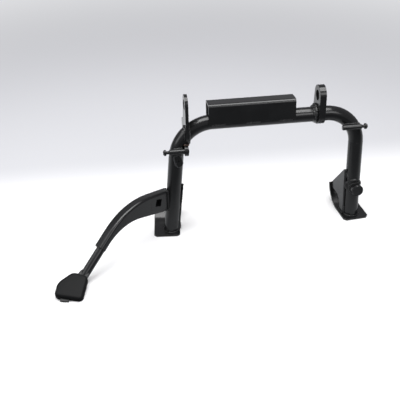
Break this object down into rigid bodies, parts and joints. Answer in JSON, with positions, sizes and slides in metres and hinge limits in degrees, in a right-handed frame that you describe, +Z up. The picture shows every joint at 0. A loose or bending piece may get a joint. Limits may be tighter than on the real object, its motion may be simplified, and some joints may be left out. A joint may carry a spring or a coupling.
{
  "type": "motorcycle centre stand",
  "caption": "Welded tubular centre stand with a folded saddle, pivot lugs, spring pins, rocker feet and a foot lever with a rubber pad.",
  "frame": {"origin": "centre of the left pivot bore, in the middle of its plate", "axes": "+X along the pivot axis towards the right leg, +Y towards the front of the motorcycle, +Z up with the stand down"},
  "size_m": [0.6067, 0.257, 0.277],
  "materials": {
    "black_powder_coat": "satin black powder coat",
    "pad_rubber": "matt black rubber"
  },
  "bodies": {
    "root": {"main_tube": "black_powder_coat", "cross_channel": "black_powder_coat", "left_pivot_lug": "black_powder_coat", "right_pivot_lug": "black_powder_coat", "left_spring_pin": "black_powder_coat", "right_spring_pin": "black_powder_coat", "left_pin_bracket": "black_powder_coat", "drain_boss": "black_powder_coat", "stop_boss": "black_powder_coat", "lever_channel": "black_powder_coat", "lever_rod": "black_powder_coat", "pedal_plate": "black_powder_coat", "pedal_pad": "pad_rubber", "left_foot_skid": "black_powder_coat", "left_foot_gusset": "black_powder_coat", "right_foot_skid": "black_powder_coat", "right_foot_gusset": "black_powder_coat"}
  },
  "joints": []
}
